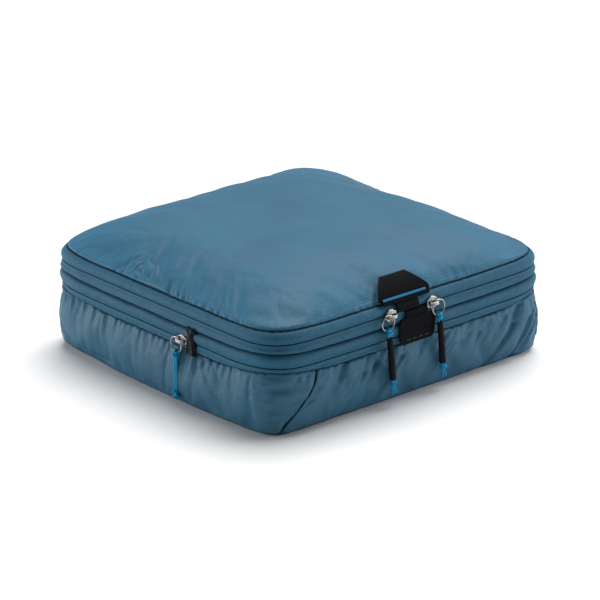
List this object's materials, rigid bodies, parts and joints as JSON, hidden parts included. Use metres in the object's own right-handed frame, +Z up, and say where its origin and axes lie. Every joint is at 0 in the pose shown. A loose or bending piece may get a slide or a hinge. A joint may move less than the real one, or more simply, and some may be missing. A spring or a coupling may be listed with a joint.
{
  "type": "packing cube",
  "caption": "Soft rectangular packing cube with a gathered ripstop pouch, a domed zip-round lid, a compression zipper and cord zipper pulls.",
  "frame": {"origin": "centre of the bottom panel on the surface it rests on", "axes": "+Z up; -Y faces the front with the tab and the main zipper's sliders; the compression slider is on the -X side; the lid's hinge is along +Y"},
  "size_m": [0.3317, 0.3178, 0.12],
  "materials": {
    "pouch_fabric": "ripstop nylon, slightly sheened",
    "top_fabric": "ripstop nylon, slightly sheened",
    "seam_binding": "matte grosgrain",
    "zip_tape": "ribbed woven tape",
    "zip_coil": "satin polyester coil",
    "tab": "matte coated webbing",
    "bright_thread": "dense satin stitch",
    "garage_thread": "dense bartack stitch",
    "hardware": "polished nickel",
    "pull_cord": "braided cord with pale flecks",
    "pull_sleeve": "matte shrink sleeve"
  },
  "bodies": {
    "base": {"bottom_panel": "pouch_fabric", "pouch_front_panel": "pouch_fabric", "pouch_back_panel": "pouch_fabric", "pouch_left_panel": "pouch_fabric", "pouch_right_panel": "pouch_fabric", "lower_seam_binding": "seam_binding", "compression_tape_lower": "zip_tape", "compression_coil_lower": "zip_coil", "zip_garage": "garage_thread"},
    "upper_frame": {"compression_tape_upper": "zip_tape", "compression_coil_upper": "zip_coil", "middle_seam_binding": "seam_binding", "main_tape_lower": "zip_tape", "main_coil_lower": "zip_coil", "lower_tab": "tab", "expansion_gusset": "pouch_fabric", "lid_hinge_strip_lower": "pouch_fabric"},
    "lid": {"main_tape_upper": "zip_tape", "main_coil_upper": "zip_coil", "top_seam_binding": "seam_binding", "top_panel": "top_fabric", "upper_tab": "tab", "tab_stitch_bar": "bright_thread", "lid_hinge_strip_upper": "pouch_fabric"},
    "main_left_slider": {"main_left_slider_body": "hardware", "main_left_slider_crown": "hardware"},
    "main_left_ring": {"main_left_pull_ring": "hardware"},
    "main_left_pull": {"main_left_cord": "pull_cord", "main_left_sleeve": "pull_sleeve", "main_left_knot": "pull_cord"},
    "main_right_slider": {"main_right_slider_body": "hardware", "main_right_slider_crown": "hardware"},
    "main_right_ring": {"main_right_pull_ring": "hardware"},
    "main_right_pull": {"main_right_cord": "pull_cord", "main_right_sleeve": "pull_sleeve", "main_right_knot": "pull_cord"},
    "compression_slider": {"compression_slider_body": "hardware", "compression_slider_crown": "hardware"},
    "compression_ring": {"compression_pull_ring": "hardware"},
    "compression_pull": {"compression_cord": "pull_cord", "compression_knot": "pull_cord"}
  },
  "joints": [
    {"name": "expansion", "type": "slide", "parent": "base", "child": "upper_frame", "axis": [0, 0, 1], "range_m": [0, 0.045]},
    {"name": "lid_hinge", "type": "hinge", "parent": "upper_frame", "child": "lid", "pos_m": [0, 0.1555, 0.08], "axis": [-1, 0, 0], "range_deg": [0, 180]},
    {"name": "main_left_slide", "type": "slide", "parent": "upper_frame", "child": "main_left_slider", "axis": [-1, 0, 0], "range_m": [0, 0.06]},
    {"name": "main_right_slide", "type": "slide", "parent": "upper_frame", "child": "main_right_slider", "axis": [1, 0, 0], "range_m": [0, 0.07]},
    {"name": "compression_slide", "type": "slide", "parent": "base", "child": "compression_slider", "axis": [0, 1, 0], "range_m": [0, 0.11]},
    {"name": "main_left_ring_hinge", "type": "hinge", "parent": "main_left_slider", "child": "main_left_ring", "pos_m": [-0.032, -0.1572, 0.08], "axis": [-0.7071, 0, 0.7071], "range_deg": [0, 90]},
    {"name": "main_right_ring_hinge", "type": "hinge", "parent": "main_right_slider", "child": "main_right_ring", "pos_m": [0.016, -0.1572, 0.08], "axis": [-0.7071, 0, -0.7071], "range_deg": [0, 90]},
    {"name": "compression_ring_hinge", "type": "hinge", "parent": "compression_slider", "child": "compression_ring", "pos_m": [-0.1652, -0.039, 0.058], "axis": [0, 0.7071, 0.7071], "range_deg": [0, 90]},
    {"name": "main_left_pull_hinge", "type": "hinge", "parent": "main_left_ring", "child": "main_left_pull", "pos_m": [-0.0368, -0.1572, 0.0684], "axis": [-1, 0, 0], "range_deg": [0, 120]},
    {"name": "main_right_pull_hinge", "type": "hinge", "parent": "main_right_ring", "child": "main_right_pull", "pos_m": [0.0208, -0.1572, 0.0684], "axis": [-1, 0, 0], "range_deg": [0, 120]},
    {"name": "compression_pull_hinge", "type": "hinge", "parent": "compression_ring", "child": "compression_pull", "pos_m": [-0.1652, -0.0342, 0.0464], "axis": [0, 1, 0], "range_deg": [0, 120]}
  ]
}
